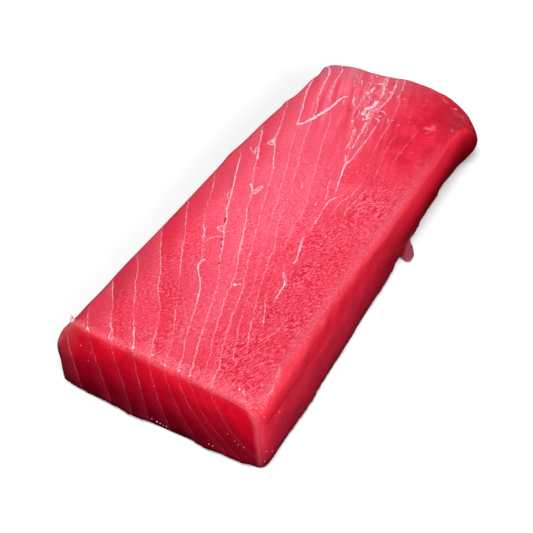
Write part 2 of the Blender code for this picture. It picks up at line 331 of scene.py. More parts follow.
def knife_grain(places, bent):
    """The knife's wrinkles and the finer grain, which is sandy on the right and calm far off."""
    x, y = places.T[:2]
    wrinkles = field(bent, 0.28, 0.55, 0.3, 1)
    pebbles = field(places, 0.75, 0.75, 0.75, 2)
    sand = ease(x - 0.10 * y, 12.0, 27.0) * (1.0 - 0.6 * ease(y, 35.0, 70.0))
    calm = 1.0 - 0.72 * ease(y + 0.35 * x, 20.0, 62.0)
    return wrinkles * (1.0 - 0.75 * sand) * calm + pebbles * (0.35 * calm + 0.75 * sand)


def torn_patch(places, upward):
    """How torn each place is, and how deep it is in a pit."""
    x, y = places.T[:2]
    torn = ((x - TORN_MIDDLE[0] + TORN_LEAN * (y - TORN_MIDDLE[1])) / TORN_REACH[0]) ** 2
    torn = torn + ((y - TORN_MIDDLE[1]) / TORN_REACH[1]) ** 2
    torn = (1.0 - ease(torn + 0.5 * field(places, 0.2, 0.2, 0.0, 5), 0.35, 1.3)) * upward
    pits = np.zeros(len(places))
    for across, along, size in PITS:
        pit = np.exp(-((x - across) / size) ** 2 - ((y - along) / (1.5 * size)) ** 2)
        pits = np.maximum(pits, pit)
    return torn, pits * upward


def gritty_rims(places, upward, facing_z, grit):
    """How gritty each place is, as the rims and the lips of the front's ends are. The material paints them
    pale, partly as a painted sheen where the grit catches the light.
    """
    x, y, z = places.T
    near_rim = ease(-y, 97.6, 100.4) * ease(z, 22.6, 23.8)
    right_rim = ease(x + 0.02 * y, 29.5, 34.0) * ease(z, 20.5, 23.0) * (1.0 - ease(y, 40.0, 75.0))
    rim = np.maximum(near_rim, 0.35 * right_rim)
    far_rim = (1.0 - ease(facing_z, 0.9, 0.995)) * ease(facing_z, 0.3, 0.6) * ease(y, 50.0, 75.0)
    behind = y - np.interp(x, *zip(*REAR_EDGE))
    far_rim = np.maximum(far_rim, upward * ease(behind, -5.0, -1.5) * ease(x, 12.0, 20.0))
    far_rim *= ease(field(places, 0.3, 0.3, 0.3, 12) + 0.5 * grit, -0.2, 0.5)
    left_lip = np.exp(-((apart(places, LEFT_LIP) / 1.3) ** 2))
    right_lip = np.minimum(apart(places, RIGHT_LIP), apart(places, CORNER_LIP))
    right_lip = np.exp(-((right_lip / 1.1) ** 2))
    rim = np.maximum(np.maximum(rim, 0.32 * far_rim), 1.5 * np.maximum(left_lip, right_lip))
    return rim, left_lip, ease(behind, -17.0, -4.0)


def soft_bands(places, upward):
    """How dark each place is beside a raised strand."""
    x, y = places.T[:2]
    shade = np.zeros(len(places))
    for half, points in SHADES:
        rows = np.array(points[::-1])
        middle = np.interp(y, rows[:, 1], rows[:, 0])
        first, last = rows[0, 1], rows[-1, 1]
        inside = ease(y, first - 1.5, first + 1.5) * (1.0 - ease(y, last - 4.0, last))
        shade = np.maximum(shade, inside * np.exp(-(((x - middle) / half) ** 2)))
    return shade * (upward * ease(field(places, 0.15, 0.15, 0.0, 11), -0.5, 0.4))


def sheet_relief(places, upward, end_cut):
    """The grooves of the sheets, and the small steps from flake to flake."""
    x, y, z = places.T
    lift = np.zeros(len(places))
    depth = np.maximum(TOP - z, 0.0)
    for lean, growth, _, points in SHEETS:
        rows = np.array(faded_ends(points))
        middle = np.interp(y, rows[:, 0], rows[:, 1]) + depth * (lean + growth * depth)
        white = np.interp(y, rows[:, 0], rows[:, 2])
        inside = (y > rows[0, 0]) & (y < rows[-1, 0])
        away = (x - middle) * inside + FAR_OFF * ~inside
        groove = np.exp(-((away / 0.55) ** 2)) * white
        step = np.exp(np.minimum(away, 0.0) / 2.5) * (away < 0.0) * white
        lift += upward * (TOP_STEP * step - TOP_GROOVE * groove)
        lift += end_cut * (END_STEP * step * ease(z, 2.0, 9.0) - END_GROOVE * groove)
    return lift


def wall_relief(places, facing_x, wall):
    """The walls' soft waves, and the long crease in the right one."""
    y, z = places.T[1:]
    calm = 1.0 - 0.6 * ease(facing_x, 0.6, 0.9) * ease(y, -20.0, 10.0)
    lift = wall * WAVE_RELIEF * calm * field(places, 0.12, 0.12, 0.16, 8)
    creased = ease(facing_x, 0.7, 0.9) * ease(-y, 22.0, 45.0)
    above = ease(z - CREASE_HEIGHT + 0.05 * (y + 70.0), -0.7, 0.7)
    return lift + creased * CREASE_STEP * (above - 0.5) * (1.0 - ease(z, 19.0, 23.0)) * ease(z, 6.0, 12.0)


def push_outline(places, upward, facing_x):
    """Rounds the right rim, bulges the right wall, and pushes the outline in and out."""
    x, y, z = places.T
    past_rim = x - (37.9 - 1.0 * ease(-y, 60.0, 86.0) + 1.5 * ease(-y, 86.0, 97.0))
    places[:, 2] -= upward * RIM_DROP * ease(past_rim, -0.4, 2.8) * ease(-y, 50.0, 85.0)
    bulge = ease(facing_x, 0.4, 0.9) * ease(y, 0.0, 30.0) * (1.0 - ease(y, 66.0, 84.0))
    places[:, 0] += WALL_BULGE * bulge * ease(z, 3.0, 13.0) * (1.0 - ease(z, 14.0, 24.0))
    for across, along, push_across, push_along, reach, low in PUSHES:
        near = np.exp(-(((x - across) ** 2 + (y - along) ** 2) / reach ** 2))
        near = near * ease(z, low - 4.0, low + 4.0)
        places[:, 0] += near * push_across
        places[:, 1] += near * push_along


def fray_foot(places, normals, wall):
    """Draws the foot of the walls raggedly in and out, and keeps it on the ground."""
    x, y, z = places.T
    foot = wall * (1.0 - ease(z, 0.8, 4.2))
    outward = field(places, 0.22, 0.22, 0.1, 9) * 0.25 + field(places, 0.6, 0.6, 0.4, 10) * 0.24
    outward += ease(-normals[:, 1], 0.3, 0.8) * np.interp(x, *zip(*FRONT_FOOT))
    outward += ease(normals[:, 0], 0.3, 0.8) * np.interp(y, *zip(*RIGHT_FOOT))
    places[:, :2] += normals[:, :2] * (foot * outward)[:, None]
    places[:, 2] = np.maximum(places[:, 2], 0.0)


def roughen(mesh):
    """Gives the fine mesh its relief, and notes for the material what each place is."""
    places = points_of(mesh) / MM
    normals = points_of(mesh, "normal")
    facing_x, facing_y, facing_z = normals.T
    upward = ease(facing_z, 0.55, 0.92)
    wall = 1.0 - ease(np.abs(facing_z), 0.3, 0.7)
    end_cut = wall * ease(np.abs(facing_y), 0.5, 0.8)
    bent = places.copy()
    bent[:, 1] += 1.6 * field(places, 0.13, 0.13, 0.0, 3) + 0.16 * places[:, 0]
    tatters = field(bent, 0.34, 0.22, 0.0, 6)
    grit = field(places, 1.0, 1.0, 1.0, 7)

    grain = knife_grain(places, bent)
    torn, pits = torn_patch(places, upward)
    rim, left_lip, rear = gritty_rims(places, upward, facing_z, grit)
    shade = soft_bands(places, upward)
    lift = upward * GRAIN_RELIEF * grain
    lift += TATTER_RELIEF * torn * ease(-tatters, 0.15, 0.8) * (1.0 - pits) - PIT_DEPTH * pits
    lift += GRIT_RELIEF * rim * grit + LEFT_LIP_RELIEF * left_lip
    lift += sheet_relief(places, upward, end_cut) + wall_relief(places, facing_x, wall)
    push_outline(places, upward, facing_x)
    places += normals * lift[:, None]
    fray_foot(places, normals, wall)
    mesh.vertices.foreach_set("co", (places * MM).ravel())

    x, y, z = places.T
    scrap = ease(x + 0.2 * (y - 18.0), 40.2, 41.4) * (1.0 - ease(np.abs(y - 17.0), 9.0, 11.0))
    # The rims' pale is their grit with a painted sheen; the torn patch's pale is the tissue's own.
    pale = np.maximum(rim * (0.75 + 0.5 * grit), torn * ease(-tatters, -0.05, 0.6))
    for name, values in (
        ("grain", 0.5 + 0.4 * grain),
        ("pale", np.clip(pale, 0, 1.5)),
        ("torn", torn),
        ("pit", np.clip(pits, 0, 1)),
        ("shade", shade),
        ("scrap", scrap * (1.0 - ease(z, 3.5, 5.5))),
        ("rear", rear),
    ):
        layer = mesh.attributes.new(name, "FLOAT", "POINT")
        layer.data.foreach_set("value", values)
    mesh.update()


class Signal:
    """What a shader node gives out. A sum with it adds a node to the same tree."""

    def __init__(self, socket):
        self.socket = socket
        self.tree = socket.id_data
        self.wide = socket.type in ("VECTOR", "RGBA")

    def __add__(self, other):
        return reckon("ADD", self, other)

    def __sub__(self, other):
        return reckon("SUBTRACT", self, other)

    def __rsub__(self, other):
        return reckon("SUBTRACT", other, self)

    def __mul__(self, other):
        return reckon("MULTIPLY", self, other)

    def __truediv__(self, other):
        return reckon("DIVIDE", self, other)

    def __abs__(self):
        return reckon("ABSOLUTE", self)


def feed(socket, value):
    """Links a signal to a socket, or sets its value. One number fills a whole vector."""
    if isinstance(value, Signal):
        value.tree.links.new(value.socket, socket)
    elif socket.type == "VECTOR" and isinstance(value, (int, float)):
        socket.default_value = (value, value, value)
    else:
        socket.default_value = value


def node(tree, kind, inputs=None, output=0, **settings):
    """Adds a shader node and gives one output's signal."""
    made = tree.nodes.new("ShaderNode" + kind)
    for name, value in settings.items():
        setattr(made, name, value)
    for key, value in (inputs or {}).items():
        feed(made.inputs[key], value)
    return Signal(made.outputs[output])


def reckon(operation, *values):
    """Adds the node of one sum, which is a vector's if any value is one."""
    signals = [value for value in values if isinstance(value, Signal)]
    wide = any(signal.wide for signal in signals)
    wide = wide or any(isinstance(value, (tuple, list)) for value in values)
    kind = "VectorMath" if wide else "Math"
    return node(signals[0].tree, kind, dict(enumerate(values)), operation=operation)


def most(first, *others):
    """The largest of the values."""
    for other in others:
        first = reckon("MAXIMUM", first, other)
    return first


def held(signal):
    """The sum kept from 0 to 1."""
    signal.socket.node.use_clamp = True
    return signal


def parts_of(vector):
    """A vector's three signals: across, along and up."""
    first = node(vector.tree, "SeparateXYZ", {0: vector})
    return [Signal(output) for output in first.socket.node.outputs]


def ramped(value, low, high, out_low=0, out_high=1):
    """Goes smoothly from out_low to out_high while the value goes from low to high."""
    ends = {"From Min": low, "From Max": high, "To Min": out_low, "To Max": out_high}
    return node(value.tree, "MapRange", {"Value": value, **ends}, interpolation_type="SMOOTHSTEP")


def scaled(share, none, full):
    """The value none where the share is 0, full where it is 1, and a smooth change between."""
    return ramped(share, 0, 1, none, full)


def srgb(red, green, blue):
    """A display colour as linear light."""
    def straight(value):
        value /= 255
        return value / 12.92 if value <= 0.04045 else ((value + 0.055) / 1.055) ** 2.4

    return (straight(red), straight(green), straight(blue), 1)


def blended(share, first, second):
    """Two colours mixed by the share. Each is a signal or a display colour."""
    tree = next(value.tree for value in (share, first, second) if isinstance(value, Signal))
    ends = [value if isinstance(value, Signal) else srgb(*value) for value in (first, second)]
    return node(tree, "Mix", {0: share, 6: ends[0], 7: ends[1]}, 2, data_type="RGBA")


def layered(colour, *layers):
    """The colour with more colours laid over it in turn, each given as (share, colour)."""
    for share, over in layers:
        colour = blended(share, colour, over)
    return colour


def colour_ramp(value, stops):
    """A colour that depends on the value; stops are (value, display colour), from 0 to 1."""
    made = node(value.tree, "ValToRGB", {"Fac": value}, "Color")
    elements = made.socket.node.color_ramp.elements
    for element, (position, colour) in zip(elements, (stops[0], stops[-1])):
        element.position = position
        element.color = srgb(*colour)
    for position, colour in stops[1:-1]:
        elements.new(position).color = srgb(*colour)
    return made


def cloud(place, scale, detail=2, roughness=0.5, distortion=0, output="Fac"):
    """Soft noise about 0.5, or three of them at once with the output "Color"."""
    values = {"Vector": place, "Scale": scale, "Detail": detail}
    values.update({"Roughness": roughness, "Distortion": distortion})
    return node(place.tree, "TexNoise", values, output)


def combed(place, turn, scale, slenderness, detail, roughness=0.6):
    """Noise drawn out along the direction that is turned from the block's width."""
    values = {"Vector": place, "Angle": -math.radians(turn)}
    turned = node(place.tree, "VectorRotate", values, rotation_type="Z_AXIS")
    return cloud(turned * (1 / slenderness, 1, 0.7), scale, detail, roughness, 0.25)


def length_of(vector):
    """How long a vector is."""
    return node(vector.tree, "VectorMath", {0: vector}, "Value", operation="LENGTH")


def from_middle(place, middle, reach):
    """How far a place is from the middle of an upright oval column, whose side is at 1."""
    return length_of((place - (*middle, 0)) * (1 / reach[0], 1 / reach[1], 0))


def ovals(place, rows, softness):
    """How strongly any of the ovals marks this place."""
    edge = 1.15
    marked = 0
    for across, along, turn, length, half, share in rows:
        values = {"Vector": place, "Location": (across, along, 0)}
        values.update({"Rotation": (0, 0, math.radians(turn)), "Scale": (length, half, 1000)})
        inside = node(place.tree, "Mapping", values, vector_type="TEXTURE")
        marked = most(ramped(length_of(inside), edge, edge - softness, 0, share), marked)
    return marked


def draw_curves(along, rows, value):
    """Three curves side by side: each row's points, read at the place along the block."""
    made = node(along.tree, "VectorCurve", {"Vector": along})
    mapping = made.socket.node.mapping
    mapping.clip_min_x = mapping.clip_min_y = -1
    mapping.clip_max_x = mapping.clip_max_y = 1
    mapping.extend = "HORIZONTAL"
    for curve, row in zip(mapping.curves, rows):
        spots = [(2 * point[0] / CURVE_SPAN, value(point)) for point in faded_ends(row[3])]
        curve.points[0].location = spots[0]
        curve.points[1].location = spots[-1]
        for spot in spots[1:-1]:
            curve.points.new(*spot)
        for point in curve.points:
            point.handle_type = "AUTO_CLAMPED"
    mapping.update()
    return made


def new_group(name, inputs, outputs):
    """An empty node group with named sockets: its tree, the signals given, and what it feeds."""
    tree = bpy.data.node_groups.new(name, "ShaderNodeTree")
    for label, kind in inputs.items():
        tree.interface.new_socket(label, in_out="INPUT", socket_type="NodeSocket" + kind)
    for label in outputs:
        tree.interface.new_socket(label, in_out="OUTPUT", socket_type="NodeSocketFloat")
    given = tree.nodes.new("NodeGroupInput").outputs
    fed = tree.nodes.new("NodeGroupOutput").inputs
    return tree, {label: Signal(given[label]) for label in inputs}, fed


def use_group(tree, group, inputs):
    """Adds the node group to a tree and gives its named outputs."""
    first = node(tree, "Group", node_tree=group)
    made = first.socket.node
    for label, value in inputs.items():
        feed(made.inputs[label], value)
    return {output.name: Signal(output) for output in made.outputs}


def sheet_group():
    """A node group: how white the sheets make a place, the glow and the shadow beside them,
    and how the tone changes from flake to flake."""
    tree, given, fed = new_group("White sheets", {"Place": "Vector", "Wander": "Float"},
                                 ("Whiteness", "Glow", "Shadow", "Tone"))

    def line_of(value, factor, more):
        """One node's worth of value * factor + more."""
        return reckon("MULTIPLY_ADD", value, factor, more)

    x, y, z = parts_of(given["Place"])
    across = x + given["Wander"]
    depth = most(TOP - z, 0)
    along = y * (2 / CURVE_SPAN)
    square = depth * depth
    broad = ramped(y, 20, 85, 1, 0.5)
    strongest = {}
    tone = 0
    for first in range(0, len(SHEETS), 3):
        rows = SHEETS[first : first + 3]
        line = draw_curves(along, rows, lambda point: 2 * point[1] / CURVE_RISE) * (CURVE_RISE / 2)
        whites = most(draw_curves(along, rows, lambda point: point[2]), 0)
        line = line_of(depth, [row[0] for row in rows], line)
        line = line_of(square, [row[1] for row in rows], line)
        aside = across - line
        sharp = line_of(abs(aside) * broad, [-0.9 / row[2] for row in rows], 1.25)
        left = most(line_of(aside, -4, 0.5), 0)
        beside = abs(aside + 0.6)
        for name, value in (
            ("Whiteness", reckon("MINIMUM", most(sharp, 0), 1)),
            ("Glow", most(line_of(aside, 0.19, 1), 0) * reckon("MINIMUM", left, 1)),
            ("Shadow", most(line_of(beside, -2.6, 1), 0)),
        ):
            value = value * whites
            strongest[name] = most(strongest[name], value) if name in strongest else value
        if first < len(FLAKE_TONES):
            passed = most(line_of(aside, 1.6, 0.5), 0)
            steps = parts_of(reckon("MINIMUM", passed, 1) * FLAKE_TONES[first : first + 3])
            tone = steps[0] + steps[1] + steps[2] + tone
    for name, value in strongest.items():
        feed(fed[name], most(*parts_of(value)))
    feed(fed["Tone"], tone)
    return tree


def flesh_signals(tree):
    """What the flesh's colours depend on: where the place is, which way it faces, and the grain."""
    place = node(tree, "TexCoord", output="Object") * (1 / MM)
    x, y, z = parts_of(place)
    facing_x, facing_y, facing_z = parts_of(node(tree, "TexCoord", output="Normal"))
    at = SimpleNamespace(place=place, x=x, y=y, z=z)
    for name in ("grain", "pale", "torn", "pit", "shade", "scrap", "rear"):
        setattr(at, name, node(tree, "Attribute", output="Fac", attribute_name=name))
    at.ragged = cloud(place, 1.1, 1, output="Color") * (1, 1, 0) + (place - 0.5)

    # Which way the surface faces, and how high up the wall it is
    rim_line = ramped(y, -60, -86, 0, -1) + ramped(y, -86, -97, 0, 1.6)
    rim_line = rim_line + ramped(y, -30, 40, 37.9, 38.8)
    at.past_rim = x - rim_line
    at.top = ramped(facing_z, 0.58, 0.9) * (1 - ramped(y, -94, -98) * ramped(z, 23.7, 22.7))
    at.top = at.top * ramped(at.past_rim, 1.3, -1.3)
    at.below = ramped(facing_z, -0.6, -0.9)
    at.endwise = abs(facing_y)
    at.rightward = ramped(facing_x, 0.5, 0.9)
    at.height = z / TOP
    at.right_side = ramped(y * -0.06 + x, 8, 22)
    at.far_end = ramped(x * 0.4 + y, 20, 70)
    at.far_right = at.far_end * ramped(x, 2, 26)

    # The grain: woven strokes, longer ones as creases, and specks
    swayed = cloud(place, 0.16, 1, output="Color") * (3.5, 3.5, 0) + place
    at.weave = node(tree, "Mix", {0: at.right_side, 2: combed(swayed, 52, 2.1, 2.3, 1, 0.45),
                                  3: combed(swayed, 70, 2.35, 3.4, 1, 0.45)})
    creases = node(tree, "Mix", {0: at.right_side, 2: combed(swayed, 34, 0.9, 2.2, 2),
                                 3: combed(swayed, 70, 1.3, 2.7, 2)})
    at.creases = ramped(abs(creases - 0.5), 0.06, 0) * scaled(at.right_side, 0.4, 0.9)
    at.creases = at.creases * scaled(at.far_end, 1, 0.12)
    at.specks = cloud(place, 2.1, 2, 0.7)

    # The sheets, which show well on the cut top and faintly on the walls
    wander = cloud(place, 0.30, 3, 0.75) * 2.2 - 1.1
    at.sheets = use_group(tree, sheet_group(), {"Place": place, "Wander": wander})
    wall_lines = most(ramped(at.endwise, 0.6, 0.9), held(facing_x * -0.8))
    wall_lines = wall_lines * ramped(at.height, 0, 0.7, 0.03, 0.2)
    at.patchy = ramped(cloud(place, 0.45, 3, 0.75), 0.36, 0.6, 0.2, 0.95)
    at.white = at.sheets["Whiteness"] * at.patchy * most(at.top, at.below, wall_lines)
    return at


def cut_colour(at):
    """The top's colour: deep red painted shade in the wrinkles' valleys, with a pink painted sheen on
    their ridges.
    """
    x, y, far_end = at.x, at.y, at.far_end
    lip = ramped(at.past_rim, -5, -1.6) * at.top * ramped(y, 30, 80, 1, 0.1)
    quiet = (1 - at.right_side) * ramped(y, -35, 15, 0, 0.45)
    strength = scaled(far_end, 1, 0.22) * ramped(y, 15, 50, 1, 0.65) * (1 - quiet)
    strength = strength * ramped(cloud(at.place, 0.09), 0.36, 0.6, 0.6, 1.15) * (lip * -0.5 + 1)
    ridge_sheen = at.grain * 0.03 + (at.specks * 0.28 + at.weave * 0.72)
    ridge_sheen = (ramped(ridge_sheen, 0.458, 0.602) - 0.5) * strength + 0.5
    # Painted shade deepens the wrinkles' troughs, and the glints are painted highlights.
    trough_shade = ramped(at.weave, 0.46, 0.32) * strength * scaled(at.right_side, 1, 0.8)
    glints = ramped(at.weave, 0.57, 0.69) * strength

    # Painted light and shade: the middle of the top is brighter and pinker, and the near end is darker.
    drift = cloud(at.place, 0.035)
    middle = from_middle(y * (0.27, 0, 0) + at.place, (-5, 12), (27, 64))
    middle = ramped(drift * 0.8 + middle, 1.5, 0.6)
    near_shade = ramped(y, -24, -68)
    deep = layered(
        blended(at.right_side, (230, 14, 52), (220, 10, 46)),
        (far_end, (214, 16, 48)),
        (near_shade, (208, 4, 38)),
        (middle, (229, 26, 66)),
    )
    pink = layered(
        blended(far_end, (250, 99, 128), (246, 70, 102)),
        (near_shade, blended(ramped(x, -14, 16), (230, 72, 102), (240, 90, 120))),
        (middle, (251, 112, 140)),
    )

    # Fibres that run with the sheets, duller and redder places, the edges and the flakes
    fibres = cloud((y * (0.28, 0, 0) + at.place) * (1, 0.07, 1), 0.5, 3)
    light_fibres = ramped(fibres, 0.5, 0.68) * scaled(far_end, 0.12, 0.6)
    light_fibres = light_fibres * ramped(y * 0.16 + x, 2, 14, 1, 0.4)
    dark_fibres = ramped(fibres, 0.5, 0.32) * scaled(far_end, 0.1, 0.75)
    dull = ramped(x + drift * 10, -18, -34)
    brink = ramped(x, -26, -37, 0, 0.8) * ramped(y, 20, 90, 1, 0.5)
    brink_colour = blended(ramped(y, -30, -60), (194, 28, 56), (184, 26, 50))
    band = ramped(abs(y * 0.16 + (x + 5.1)), 3.6, 1) * ramped(y, 62, 80)
    flush = ramped(cloud(at.place, 0.05, 3), 0.4, 0.65, 0, 0.35)
    bruise = ramped(cloud(at.place, 0.09, 3, 0.6), 0.38, 0.62)
    bruise_colour = blended(bruise, (224, 16, 54), (202, 4, 42))
    corner = from_middle(at.place, (42, 100), (14, 30))
    flank = from_middle(at.place, (-33, 15), (11, 30))
    rear_colour = blended(ramped(x, -30, -6), (166, 98, 116), (188, 62, 84))
    rear_colour = blended(ramped(x, 10, 26), rear_colour, (178, 22, 46))
    tone = at.sheets["Tone"] * ramped(x, -2, 12, 1, 0)
    return layered(
        blended(ridge_sheen, deep, pink),
        # Painted shade: the creases are drawn darker.
        (at.creases * 0.45, (230, 4, 44)),
        (held(trough_shade * 0.8), (188, 0, 32)),
        (held(glints * 0.28), (255, 148, 170)),
        (light_fibres, (252, 118, 144)),
        (dark_fibres, (214, 18, 52)),
        (dull * 0.65, (208, 34, 62)),
        (brink, brink_colour),
        (band * ramped(fibres, 0.3, 0.6, 0.25, 0.6), (252, 136, 158)),
        (flush, (226, 32, 66)),
        (at.far_right * scaled(bruise, 0.7, 0.98), bruise_colour),
        # Painted shade: darker towards the far right corner, where the top slopes down.
        (ramped(corner, 1.5, 0.6, 0, 0.85), (182, 2, 36)),
        (lip * ramped(at.specks, 0.36, 0.6, 0.1, 0.6), (204, 84, 102)),
        (at.rear * 0.5, rear_colour),
        (ramped(flank, 1.1, 0.3, 0, 0.5), (216, 16, 56)),
        (ovals(at.ragged, FLUSHES, 1), (216, 14, 46)),
        (held(tone * -0.6), (196, 20, 50)),
        (held(tone * 0.3), (255, 116, 142)),
    )


def wall_colour(at):
    """The walls' colour: glassy deep red, with painted light brightest under the rim and painted shade
    nearly black at the foot and dark at the far right corner.
    """
    x, y, height, rightward = at.x, at.y, at.height, at.rightward
    # Painted light: the foot of the walls is drawn brighter towards the right corner.
    lit = (1 - height) * ramped(x, 4, 34, 0, 0.11) + height
    mottle = ramped(cloud(at.place * (1, 1, 0.6), 0.12, 3), 0.4, 0.7, 0, 0.25)
    left_rim = ramped(x, -26, -36) * ramped(height, 0.5, 0.9, 0, 0.7)
    thin = ramped(x, -34, -42, 0, 0.85) * ramped(y, -70, -95)
    thin = thin * ramped(at.specks, 0.3, 0.6, 0.7, 1)
    glow = at.sheets["Glow"] * ramped(at.endwise, 0.6, 0.9, 0, 0.26)
    near_colour = colour_ramp(height, RIGHT_WALL_NEAR)
    far_colour = colour_ramp(height, RIGHT_WALL_FAR)
    streaks = ramped(cloud(at.place * (0.3, 0.35, 1.4), 0.9), 0.5, 0.66)
    streaks = streaks * ramped(height, 0.4, 0.12, 0, 0.5) * ramped(y, -20, 30, 1, 0.2)
    shaded = ramped(y, 60, 86) * ramped(height, 0.95, 0.5, 0, 0.5)
    side = layered(
        colour_ramp(lit, END_WALL),
        (mottle, (150, 4, 26)),
        (held(at.sheets["Tone"] * -0.4), (120, 2, 20)),
        (left_rim, (208, 20, 40)),
        (thin, colour_ramp(height, THIN_EDGE)),
        (glow, (190, 44, 72)),
        (rightward, blended(ramped(y, -50, 40), near_colour, far_colour)),
        (streaks * rightward, (180, 52, 72)),
        (shaded * rightward, (60, 0, 4)),
    )
    return blended(ramped(at.specks, 0.42, 0.6, 0, 0.6), side, blended(0.45, side, (90, 0, 14)))


def marked_colour(at, body):
    """The body's colour with its marks: pale grains with a painted sheen on the rims, the torn patch, the
    near corner and the lines.
    """
    height, top = at.height, at.top
    over = most(at.z - 16, 0)
    corner_line = most(at.z - 22.2, 0) * -7 + (over * over * -0.045 - 69.15)
    past = (at.x + at.y) - corner_line
    edge = held(1 - past / ramped(height, 0.1, 0.5, 4, 7))
    edge = ramped(past, -2.2, 0.6) * (edge * edge) * ramped(at.y, -96, -101) * (1 - top)
    edge = edge * ramped(height, 0, 0.9, 0.35, 0.85) * ramped(at.specks, 0.34, 0.6, 0.55, 1)
    haze = ramped(cloud(at.place, 0.5, 3), 0.4, 0.6, 0, 0.3)
    bits = ramped(cloud(at.place, 0.95, 2, 0.7), 0.55, 0.63, 0, 0.55)
    return layered(
        body,
        # Pale grit on the rims, partly painted sheen.
        (at.pale * ramped(at.specks, 0.42, 0.6, 0.02, 0.66), (231, 126, 140)),
        (edge, (232, 92, 108)),
        (at.shade * 0.6, (196, 10, 44)),
        (at.torn * haze, (244, 112, 138)),
        (at.torn * bits, (255, 186, 202)),
        (at.pit * 0.8, (208, 10, 46)),
        (at.scrap * 0.9, (154, 66, 80)),
        (at.sheets["Glow"] * top * 0.10, (255, 170, 180)),
        (at.sheets["Shadow"] * at.patchy * top * 0.4, (196, 6, 40)),
        (held(at.white * 0.95), (255, 192, 202)),
        (ovals(at.ragged, SCUFFS, 0.9) * top, (240, 110, 134)),
        # Painted shade: the gaps are drawn dark on the flat top.
        (ovals(at.ragged, GAPS, 0.4) * top, (204, 0, 26)),
    )


def new_material(name):
    """A material with one shader: the material, its tree, and a way to feed the shader."""
    material = bpy.data.materials.new(name)
    material.use_nodes = True
    shader = material.node_tree.nodes["Principled BSDF"]

    def give(values):
        for label, value in values.items():
            feed(shader.inputs[label], value)

    return material, material.node_tree, give


def flesh_material():
    """Wet flesh that lets a little light in."""
    material, tree, give = new_material("raw_tuna_flesh")
    at = flesh_signals(tree)
    body = blended(most(at.top, at.below), wall_colour(at), cut_colour(at))
    tall = at.weave + (at.creases * -0.6 + at.specks * 0.3)
    tall = (at.white * 0.4 + tall) * scaled(at.top, 0.12, 1)
    give({
        "Base Color": marked_colour(at, body),
        "Normal": node(tree, "Bump", {"Height": tall, "Strength": 0.9, "Distance": 0.12 * MM}, "Normal"),
        "Roughness": scaled(at.top, 0.30, 0.44),
        "Specular IOR Level": scaled(at.top, 0.08, 0.22) * (at.far_right * -0.6 + 1),
        "Subsurface Weight": 0.3,
        "Subsurface Radius": (1, 0.12, 0.10),
        "Subsurface Scale": 3 * MM,
        "Coat Weight": 0.04,
        "Coat Roughness": 0.2,
    })
    return material


block = fine_copy(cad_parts["tuna_block"], "tuna_flesh")
roughen(block.data)
block.data.materials.clear()
block.data.materials.append(flesh_material())
block.data.shade_smooth()
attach(block, "root")
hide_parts("tuna_block")

# ---------------------------------------------------------------------------
# The strands
# White connective tissue, the same as the sheets'. Where a sheet is thick, the knife has
# pulled it up out of the cut, and it lies on the top as a thread with knots and loops.

